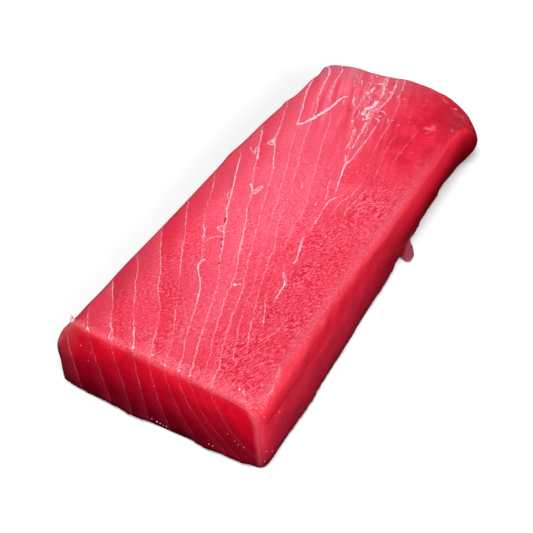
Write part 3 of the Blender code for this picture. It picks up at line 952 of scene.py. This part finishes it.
# Each strand: its width in mm, how far the meat stains it, and the points (across, along)
STRANDS = [
    (0.62, 0.25, [(-14.9, -48.5), (-15.8, -50.7), (-15.6, -53.2), (-14.4, -55.3)]),
    (0.4, 0.25, [(-14.4, -55.3), (-11.9, -58.2), (-9.4, -62), (-6.7, -67.8), (-4.9, -72.9)]),
    (0.6, 0.25, [(-35.6, 15.6), (-32.3, 7.3), (-29.2, -0.8), (-26.6, -7.2), (-25, -11.5), (-23.4, -16.9),
     (-22.2, -19.6), (-20.1, -23), (-18.7, -26.3), (-18.3, -29.1), (-16.2, -32.2)]),
    (0.4, 0.25, [(-16.2, -32.2), (-14.6, -35.7), (-12.7, -39.7), (-10.9, -44.6)]),
    (0.42, 0.25, [(-26.6, -7.4), (-27.4, -8), (-27.3, -9.6), (-26.3, -11.1), (-25.1, -11.2)]),
    (0.32, 0.25, [(-24.7, -17), (-23, -16.8)]),
    (0.32, 0.25, [(-24, -18.7), (-22.2, -18.5)]),
    (0.32, 0.25, [(-23.1, -20.4), (-21.6, -20)]),
    (0.55, 0.25, [(-18.5, -27.8), (-20.5, -30), (-18.1, -31.5), (-17, -31.2)]),
    (0.45, 0.35, [(-20.4, -30), (-18.4, -29.6)]),
    (0.35, 0.25, [(-16.5, -31.8), (-15.3, -29.9), (-14, -28.6)]),
    (0.28, 0.25, [(-15.8, -33.9), (-18.3, -35.1), (-19.8, -37.5), (-20.1, -40.8)]),
    (0.38, 0.25, [(-16.1, -14), (-13.3, -19.7), (-11.6, -24.6), (-9.2, -30.3), (-7.3, -36),
     (-5.1, -41.4)]),
    (0.5, 0.25, [(-26.2, -31), (-23.6, -34.2), (-22.3, -38.4)]),
    (0.8, 0.25, [(-22.1, 0.4), (-21.4, -0.6), (-20.2, -1.7), (-19.1, -4.2)]),
    (0.75, 0.3, [(-20.2, -1.7), (-18.9, -2.6), (-18.5, 0), (-17.1, 1.9)]),
    (0.75, 0.3, [(-19.1, -4.2), (-17.5, -3.7), (-17.2, -0.9), (-17, 1.5)]),
    (1.3, 0.6, [(-19, -3), (-18, -2.6), (-17.8, -0.8)]),
    (0.42, 0.25, [(-18.5, -4.1), (-18.8, -5.8), (-18.4, -7.2), (-16.9, -6.5)]),
    (0.6, 0.35, [(-35.6, 24.6), (-33.4, 22.4), (-31.9, 21.3), (-30.2, 20.5)]),
    (1.5, 0.25, [(-28.5, 17.6), (-29.1, 19.4), (-30, 21.6)]),
    (0.6, 0.35, [(-29.6, 21), (-31.5, 24.1), (-33.2, 29), (-35.9, 35.8), (-37.2, 38.7)]),
    (0.8, 0.55, [(-31.2, 20.6), (-32.6, 24.4), (-33, 26.6)]),
    (0.4, 0.3, [(-26.6, 11.4), (-25.5, 12.2), (-24.4, 12.8)]),
    (0.7, 0.3, [(-31, 42.6), (-29.9, 39.6), (-29.6, 36.3), (-29.7, 32.8), (-30.3, 30.8), (-28.8, 30.2),
     (-27.4, 30.5), (-28.1, 33.5), (-29, 36.5)]),
    (1.9, 0.6, [(-29.1, 35.4), (-28.6, 33), (-28.5, 31)]),
    (0.46, 0.25, [(-28.3, 33.9), (-26, 29), (-23.3, 23.3), (-21, 18.2), (-19.2, 15.1)]),
    (0.34, 0.25, [(-14.1, 25), (-13.1, 26.1)]),
    (0.34, 0.25, [(-17.7, 31.9), (-17, 32.3)]),
    (0.34, 0.25, [(-8.2, -3.8), (-7.4, -2.7)]),
    (1.35, 0.15, [(-25.8, 49.4), (-24.3, 50.1), (-22, 53.8), (-20, 60), (-18.3, 66.8), (-17.6, 72.5),
     (-17.2, 77), (-16, 79.6), (-14.8, 80.4)]),
    (2.5, 0.3, [(-22.6, 52.8), (-21, 57), (-19.2, 63.2), (-18, 69)]),
    (0.9, 0.5, [(-25.6, 50.2), (-27.4, 56.3), (-29.4, 63.2), (-32.2, 71.1), (-34.5, 79.6),
     (-35.6, 87.1)]),
    (0.85, 0.5, [(-27, 75.2), (-29.2, 83.7), (-30.6, 92.8), (-31.8, 97)]),
    (1.3, 0.25, [(-30.6, 92.8), (-31.8, 97), (-33, 98.5), (-35, 101)]),
    (1.2, 0.72, [(-28.4, 102.6), (-26.7, 100.3), (-26.3, 95), (-24.8, 87.4), (-23.5, 81.4),
     (-22.2, 76.1)]),
    (0.6, 0.8, [(37.4, -98.4), (37.4, -95.6), (36.9, -92.8)]),
    (0.45, 0.9, [(36.4, -90.6), (35.8, -87.6), (35, -84.6)]),
    (0.75, 0.3, [(9.6, 15.8), (8, 22.7), (6.5, 29.5)]),
    (1.05, 0.3, [(7.4, 25.6), (6.3, 30.5), (6.9, 34)]),
    (0.6, 0.5, [(6.6, 32), (7.1, 35.8), (6.9, 42.4), (6.8, 50.1), (6.6, 57), (6, 64)]),
    (0.8, 0.5, [(6.3, 30.5), (4.8, 34), (3.4, 37.2)]),
    (0.55, 0.4, [(1.7, 40.5), (1.3, 45.5), (-0.4, 52.5), (-1.1, 55.7)]),
    (0.95, 0.6, [(4, 42.6), (2.9, 51.5), (1.7, 61.7), (1.5, 65.3)]),
    (0.65, 0.5, [(10.9, 2), (10.7, 4.5), (12, 7.6), (12.9, 9.3)]),
    (0.45, 0.5, [(9.1, 5.2), (8.3, 9.2), (6.2, 14.1), (5.3, 18.9)]),
    (0.5, 0.4, [(7.2, -0.1), (6.6, 2.5)]),
    (0.45, 0.5, [(-2.5, 7.4), (-4, 11.2)]),
    (0.8, 0.2, [(2.2, -55.5), (2.9, -55), (3.9, -54.7)]),
    (0.4, 0.25, [(13.8, -41.1), (17.6, -47.5), (17.9, -51.5), (18.4, -55.9)]),
    (0.55, 0.25, [(17, -46), (17.6, -47.5), (17.9, -51.5)]),
    (0.42, 0.25, [(19.2, -66), (20.4, -69.2)]),
    (0.5, 0.25, [(11.9, -21.5), (12.9, -25.2), (15.3, -32.8), (14.9, -35.4)]),
    (0.38, 0.25, [(13, -24.6), (14.6, -24.4)]),
    (0.4, 0.35, [(-27.4, -94.4), (-25.4, -95.9), (-24.2, -98.4), (-23.8, -100), (-22.8, -100.4),
     (-21.9, -99.7), (-22.1, -98.6)]),
    (0.45, 0.25, [(-17.8, -93), (-15.6, -96.4), (-14.8, -98), (-13.3, -100.7)]),
]
# Small white beads: across, along, and width in mm
BEADS = [
    (-32.9, -99.6, 1.1), (-13.3, -100.6, 1.2), (-5.4, -100.8, 0.8), (0.7, -102.5, 1), (6.2, -102.5, 1.1),
    (10.7, -102.8, 0.8), (-19.2, 15.1, 1), (-22, 0.4, 1.4), (-28.6, 18.4, 1.1), (-0.9, 55.6, 0.9),
    (-4.4, 62.2, 0.8), (17.7, -47.3, 1), (-25.7, 49.8, 0.9), (-32.3, 7.3, 0.8), (20.2, -68.6, 0.8),
    (12.6, 28.2, 0.6), (15, 34.2, 0.6), (19, -15.4, 0.7), (1.6, -55.9, 1.5),
]
# Flecks on the walls: across, along, up, width in mm, and stain
FLECKS = [
    (28.2, -100.7, 24.7, 0.8, 0.5), (29.8, -101, 24.5, 0.8, 0.6), (30.6, -101.6, 24.4, 0.8, 0.7),
    (33.7, -95.6, 24.5, 0.9, 0.7), (37.8, -95.8, 24.1, 0.6, 0.8), (38.1, -99.6, 23.4, 0.6, 0.9),
    (36.3, -104.1, 23, 0.7, 0.8), (32.3, -103.8, 23.9, 0.7, 0.8), (-34.5, -102.9, 17.7, 0.45, 0.9),
    (-29.7, -103.5, 17.1, 0.35, 1), (-30.4, -104.7, 13.6, 0.35, 1), (-8.6, -105.7, 14.5, 0.4, 0.9),
    (-2.2, -105.7, 15.9, 0.4, 0.9), (32.1, -109.1, 8, 0.45, 1), (34.2, -109.1, 7.8, 0.4, 1),
    (40.6, -96.1, 15.6, 0.5, 0.8), (41.4, -106.7, 7.1, 0.5, 1), (42.1, -104.6, 5.5, 0.5, 0.9),
    (41.5, -108.4, 3.8, 0.5, 1), (39.1, -104.2, 20.5, 0.5, 1), (-1.9, -109.5, 3, 0.6, 0.7),
    (0.2, -109.7, 2.7, 0.7, 0.6), (1.5, -109.8, 2.5, 0.6, 0.6), (2.7, -109.8, 2.2, 0.5, 0.8),
    (4, -109.9, 2.4, 0.6, 0.8), (21.2, -110, 3.1, 0.5, 0.8), (22.7, -110.1, 3, 0.5, 0.9),
    (27.8, -108.5, 10.4, 0.4, 1), (30.7, -108.9, 8.8, 0.4, 1),
]
BEAD_DUST = 24  # tiny flecks strewn over the near middle
THREAD_SIDES = 6
THREAD_STEP = 0.45  # mm from ring to ring along a thread
THREAD_STAND = 0.35  # how far a thread's middle stands above the meat, as a share of its half height


class LooseTissue:
    """Gathers the threads and beads of one piece as a single mesh."""

    def __init__(self, ground):
        self.ground = ground
        self.corners = []
        self.faces = []
        self.stains = []

    def height(self, x, y):
        """How high the meat's top is at a place, in mm."""
        hit = self.ground.ray_cast(Vector((x * MM, y * MM, 0.05)), Vector((0, 0, -1)))[0]
        return hit.z / MM if hit else None

    def smooth_path(self, points):
        """Close steps on a smooth curve through the points."""
        spots = [Vector((*point, 0.0)[:3]) for point in points]
        ends = [2 * spots[0] - spots[1]] + spots + [2 * spots[-1] - spots[-2]]
        path = []
        for index in range(1, len(ends) - 2):
            before, start, stop, after = ends[index - 1 : index + 3]
            steps = max(2, int((stop - start).length / THREAD_STEP))
            for step in range(steps):
                t = step / steps
                path.append(0.5 * (2 * start + (stop - before) * t
                                   + (2 * before - 5 * start + 4 * stop - after) * t * t
                                   + (3 * start - before - 3 * stop + after) * t ** 3))
        return path + [spots[-1]]

    def strand(self, points, width, stain, wobble=0.12, rise=0.42, seed=0.0, pointed=False):
        """A thread of tapering width along the points. It clings to the top where they have no height."""
        free = len(points[0]) == 3
        path = self.smooth_path(points)
        last = len(path) - 1
        rings = []
        for index, spot in enumerate(path):
            ahead = path[min(index + 1, last)] - path[max(index - 1, 0)]
            side = Vector((ahead.y, -ahead.x, 0.0)).normalized()
            over = side.cross(ahead).normalized()
            shift = wobble * 1.6 * noise.noise(Vector((spot.x * 0.9, spot.y * 0.9, seed)))
            centre = spot + side * shift
            top = centre.z if free else self.height(centre.x, centre.y)
            if top is None:
                continue
            centre.z = top + THREAD_STAND * 0.5 * width * rise
            thick = 0.75 + 0.7 * noise.noise(Vector((spot.x * 0.7, spot.y * 0.7, seed + 5.0)))
            taper = min(1.0, 0.35 + 0.35 * min(index, last - index))
            if pointed:
                thick, taper = 1.0, 1.08 - index / last
            half = 0.5 * width * thick * taper
            ring = []
            for turn in range(THREAD_SIDES):
                angle = math.tau * turn / THREAD_SIDES
                offset = side * (half * math.cos(angle)) + over * (half * rise * math.sin(angle))
                ring.append(len(self.corners))
                self.corners.append(tuple((centre + offset) * MM))
                self.stains.append(stain)
            rings.append(ring)
        for first, second in zip(rings, rings[1:]):
            for turn in range(THREAD_SIDES):
                beside = (turn + 1) % THREAD_SIDES
                self.faces.append((first[turn], second[turn], second[beside], first[beside]))
        for ring in (rings[:1] + rings[-1:]) if rings else []:
            self.faces.append(tuple(ring))

    def bead(self, x, y, width, pick, stain=0.2, z=None):
        """A small uneven lump on the top, or at the given height on a wall."""
        if z is None:
            top = self.height(x, y)
            if top is None:
                return
            spot, facing = Vector((x, y, top)), Vector((0, 0, 1))
        else:
            spot, facing = self.ground.find_nearest(Vector((x, y, z)) * MM)[:2]
            spot = spot / MM
        shape = bmesh.new()
        bmesh.ops.create_icosphere(shape, subdivisions=2, radius=0.5 * width)
        stretch = pick.uniform(0.7, 1.0)
        spin = Quaternion((0, 0, 1), pick.uniform(0.0, math.pi))
        turn = facing.to_track_quat("Z", "Y") @ spin
        start = len(self.corners)
        for corner in shape.verts:
            part = corner.co * (1.0 + 0.35 * noise.noise(corner.co * 2.2 / width + Vector((x, y, 0))))
            part = Vector((part.x, part.y * stretch, part.z * 0.5 + 0.05))
            self.corners.append(tuple((spot + turn @ part) * MM))
            self.stains.append(stain)
        shape.verts.ensure_lookup_table()
        self.faces += [tuple(start + corner.index for corner in face.verts) for face in shape.faces]
        shape.free()

    def finish(self, name, material):
        """Makes the piece, sets it to ride on the root, and hides the CAD block."""
        mesh = bpy.data.meshes.new(name)
        mesh.from_pydata(self.corners, [], self.faces)
        shape = bmesh.new()
        shape.from_mesh(mesh)
        bmesh.ops.recalc_face_normals(shape, faces=shape.faces)
        shape.to_mesh(mesh)
        shape.free()
        layer = mesh.attributes.new("stain", "FLOAT", "POINT")
        layer.data.foreach_set("value", self.stains)
        mesh.materials.append(material)
        mesh.shade_smooth()
        made = bpy.data.objects.new(name, mesh)
        bpy.context.scene.collection.objects.link(made)
        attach(made, "root")
        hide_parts("tuna_block")


def stain_group():
    """A node group: how far the meat stains the tissue, and a red tint on its sides, which is painted
    light: the flesh's red glow seen through the thin tissue.
    """
    inputs = {"Place": "Vector", "Upward": "Float", "Given": "Float"}
    tree, given, fed = new_group("Tissue stain", inputs, ("Stain",))
    stain = ramped(cloud(given["Place"], 0.5, 3.0), 0.38, 0.68, -0.25, 0.25) + given["Given"]
    # Painted light: the sides that face away from up are tinted red.
    feed(fed["Stain"], held(stain + ramped(given["Upward"], 0.8, 0.15, 0.0, 0.8)))
    return tree


tissue_stain = stain_group()


def tissue_material(name, pale, red):
    """White connective tissue, stained by the meat in places."""
    material, tree, give = new_material(name)
    stain = use_group(tree, tissue_stain, {
        "Place": node(tree, "TexCoord", output="Object") * (1.0 / MM),
        "Upward": parts_of(node(tree, "TexCoord", output="Normal"))[2],
        "Given": node(tree, "Attribute", output="Fac", attribute_name="stain"),
    })["Stain"]
    give({
        "Base Color": blended(stain, pale, red),
        "Roughness": 0.38,
        "Subsurface Weight": 0.2,
        "Subsurface Radius": (1.0, 0.4, 0.4),
        "Subsurface Scale": 0.6 * MM,
        "Coat Weight": 0.1,
    })
    return material


ground = BVHTree.FromObject(block, bpy.context.evaluated_depsgraph_get())
pick = random.Random(11)
threads = LooseTissue(ground)
for order, (width, stain, points) in enumerate(STRANDS):
    threads.strand(points, width, stain, seed=order * 3.1)
for across, along, width in BEADS:
    threads.bead(across, along, width, pick)
for across, along, up, width, stain in FLECKS:
    threads.bead(across, along, width, pick, stain, up)
for _ in range(BEAD_DUST):
    threads.bead(pick.gauss(5.0, 5.5), pick.gauss(-71.0, 5.0), pick.uniform(0.25, 0.45), pick)
threads.finish("tuna_strands", tissue_material("white_tissue", (255, 210, 226), (246, 110, 138)))

# ---------------------------------------------------------------------------
# The torn patch
# Near the far end the flakes have pulled apart. Shreds of sheet and fibre, redder than
# the strands, stand up around small pits and still hang on to the meat.

# Each shred: its width in mm, how far the meat stains it, and the points (across, along)
SHREDS = [
    (1, 0.25, [(-7.3, 97.2), (-5.7, 98.1), (-3.7, 96.1), (-2.4, 92.2), (-1.7, 88.8)]),
    (1, 0.35, [(-5.3, 105.1), (-3.8, 99.2), (-3.7, 96.1)]),
    (1.2, 0.62, [(-1.2, 105.4), (0.5, 100), (1.3, 95.1), (2, 90.8), (2.2, 84.9), (1.9, 80.2),
     (1.2, 77.5)]),
    (0.9, 0.6, [(-5, 79.1), (-6.5, 80.1), (-8.2, 82.9), (-8.3, 85.5), (-6.3, 85.1), (-5, 81.7)]),
    (1, 0.75, [(-15.8, 89.3), (-18.1, 95.7), (-19.3, 101.4)]),
    (1, 0.6, [(-15.2, 96.6), (-13.5, 92.9)]),
    (1.2, 0.32, [(-12, 81.2), (-11.4, 78.2), (-9.8, 75.3)]),
    (0.9, 0.62, [(-9.8, 75.3), (-7.9, 71.9)]),
    (0.8, 0.5, [(-15.3, 77.5), (-13.9, 73.1)]),
    (1.3, 0.45, [(-8.4, 87.4), (-7.3, 91), (-7.7, 93.9)]),
    (2.2, 0.18, [(-1.2, 83.6), (-1.4, 79.9), (-1.9, 76.1)]),
    (2, 0.35, [(-3.1, 76.4), (-3.5, 72.8), (-2.3, 69.1)]),
    (1.6, 0.45, [(-1.7, 76.3), (-0.9, 73), (-0.6, 69), (0.6, 66.8)]),
    (0.8, 0.55, [(2.2, 75.9), (4.3, 76.3), (5.9, 74.2)]),
    (0.8, 0.55, [(3.7, 71.6), (5, 73)]),
    (1.4, 0.45, [(-1.5, 65.3), (0.4, 66.9), (0.8, 69.6)]),
    (1.3, 0.5, [(1.3, 64.9), (1.8, 60.8), (3.1, 54.9)]),
    (0.9, 0.55, [(5.8, 66.1), (5.3, 68.9), (3.1, 69.6)]),
    (0.8, 0.62, [(8.2, 72.6), (9.4, 70.4), (9, 68.2)]),
    (0.8, 0.7, [(10.1, 70.5), (10.9, 72.2)]),
    (1.3, 0.75, [(-12.6, 102.8), (-11.6, 99), (-11.2, 96.4)]),
    (1.1, 0.8, [(3.4, 103.4), (4.6, 97), (5.6, 90)]),
    (1.3, 0.7, [(-5.6, 73.4), (-5, 70.2), (-4.2, 66)]),
]
# Flat pale lumps: across, along, width in mm, and stain
LUMPS = [
    (-1.5, 81.5, 3, 0.15), (-2.7, 75.5, 2.8, 0.25), (-3.3, 71.6, 2.1, 0.45), (-8.2, 87.5, 1.9, 0.2),
    (-11.4, 78.2, 1.7, 0.2), (-4.7, 62.5, 1.9, 0.35), (-1.1, 55.7, 1.4, 0.4), (-10.3, 103, 1.4, 0.4),
    (-13.1, 102.2, 1.2, 0.6), (0.4, 93, 2.4, 0.6), (8.6, 90.8, 1.1, 0.6), (1.9, 80.6, 1.3, 0.6),
    (0.7, 68.6, 1.4, 0.45), (-1.2, 66.2, 1.5, 0.5), (30.4, 99.9, 1.2, 0.95), (-7.5, 93.6, 1.1, 0.6),
    (-4.6, 83.4, 1, 0.6), (-5.6, 76, 1.3, 0.5), (0.6, 76.6, 1.4, 0.5),
]
# The wisp that stands up at the front's left end, as points (across, along, up)
WISP = [(-40.6, -97.9, 21.9), (-41, -97.5, 23.2), (-41.1, -97.3, 24.3), (-40.8, -97.2, 25.2)]
LOOSE_SHREDS = 8  # more shreds, strewn over the patch

shreds = LooseTissue(ground)
for order, (width, stain, points) in enumerate(SHREDS):
    shreds.strand(points, 1.3 * width, stain, wobble=0.3, rise=0.25, seed=40 + order * 2.3)
for across, along, width, stain in LUMPS:
    shreds.bead(across, along, width, pick, stain)
shreds.strand(WISP, 2.2, -0.15, wobble=0.1, rise=0.25, seed=9.0, pointed=True)
for _ in range(LOOSE_SHREDS):
    along = pick.gauss(TORN_MIDDLE[1], 9.0)
    across = TORN_MIDDLE[0] - TORN_LEAN * (along - TORN_MIDDLE[1]) + pick.gauss(0.0, 3.2)
    turn = pick.uniform(0.0, math.tau)
    spots = [(across, along)]
    for _ in range(pick.choice((2, 3))):
        turn += pick.uniform(-0.9, 0.9)
        spots.append((spots[-1][0] + 1.1 * math.cos(turn), spots[-1][1] + 1.5 * math.sin(turn)))
    shreds.strand(spots, pick.uniform(0.6, 1.3), pick.uniform(0.6, 0.9), wobble=0.2, rise=0.24, seed=along)
shreds.finish("tuna_shreds", tissue_material("torn_tissue", (255, 204, 220), (232, 56, 88)))

# ---------------------------------------------------------------------------
# The studio
# A plain pale floor, soft light from above and from the right, an even white sky,
# and the camera.

FLOOR_HALF = 3.0  # metres
FLOOR_GAP = 0.1 * MM  # how far the floor lies below the foot

floor_mesh = bpy.data.meshes.new("floor")
floor_corners = [(FLOOR_HALF * x, FLOOR_HALF * y, 0) for x, y in ((-1, -1), (1, -1), (1, 1), (-1, 1))]
floor_mesh.from_pydata(floor_corners, [], [(0, 1, 2, 3)])
floor = bpy.data.objects.new("floor", floor_mesh)
bpy.context.scene.collection.objects.link(floor)
floor.location.z = -FLOOR_GAP
pale_floor, _, give_floor = new_material("pale_floor")
give_floor({
    "Base Color": (0.95, 0.95, 0.955, 1.0),
    "Roughness": 0.9,
    "Specular IOR Level": 0.1,
    "Emission Color": (1.0, 1.0, 1.0, 1.0),
    "Emission Strength": 0.10,
})
floor.data.materials.append(pale_floor)
floor.visible_diffuse = False
floor.visible_glossy = False


def soft_light(name, place, width, depth, power):
    """A rectangular lamp of the given sides in metres, aimed at the block."""
    lamp = bpy.data.lights.new(name, "AREA")
    lamp.shape = "RECTANGLE"
    lamp.size = width
    lamp.size_y = depth
    lamp.energy = power
    made = bpy.data.objects.new(name, lamp)
    made.location = place
    made.rotation_euler = (-Vector(place)).to_track_quat("-Z", "Y").to_euler()
    bpy.context.scene.collection.objects.link(made)


soft_light("key_light", place=(0.05, -0.40, 0.97), width=0.5, depth=0.5, power=7.2)
soft_light("side_light", place=(0.76, -0.55, 0.50), width=0.5, depth=0.4, power=6.2)

world = bpy.data.worlds.new("studio")
bpy.context.scene.world = world
world.use_nodes = True
sky = world.node_tree
upward = parts_of(node(sky, "TexCoord", output="Generated"))[2]
dome = {"Value": upward, "From Min": -0.05, "From Max": 0.15, "To Min": 0.02, "To Max": 0.38}
feed(sky.nodes["Background"].inputs["Strength"], node(sky, "MapRange", dome))
feed(sky.nodes["Background"].inputs["Color"], (1.0, 1.0, 1.0, 1.0))
bpy.context.scene.view_settings.view_transform = "Standard"

AZIMUTH = math.radians(27.7)  # from the near end, towards the right wall
ELEVATION = math.radians(40.75)
DISTANCE = 442.9 * MM
ACROSS = -13.0 * MM
UPWARD = -7.8 * MM
back = Vector((
    math.sin(AZIMUTH) * math.cos(ELEVATION),
    -math.cos(AZIMUTH) * math.cos(ELEVATION),
    math.sin(ELEVATION),
))
right = Vector((math.cos(AZIMUTH), math.sin(AZIMUTH), 0.0))
camera = bpy.data.objects.new("camera", bpy.data.cameras.new("camera"))
camera.data.sensor_width = 36.0
camera.data.lens = 72.0
camera.data.clip_start = 0.01
camera.location = back * DISTANCE + right * ACROSS + back.cross(right) * UPWARD
camera.rotation_euler = back.to_track_quat("Z", "Y").to_euler()
bpy.context.scene.collection.objects.link(camera)
bpy.context.scene.camera = camera
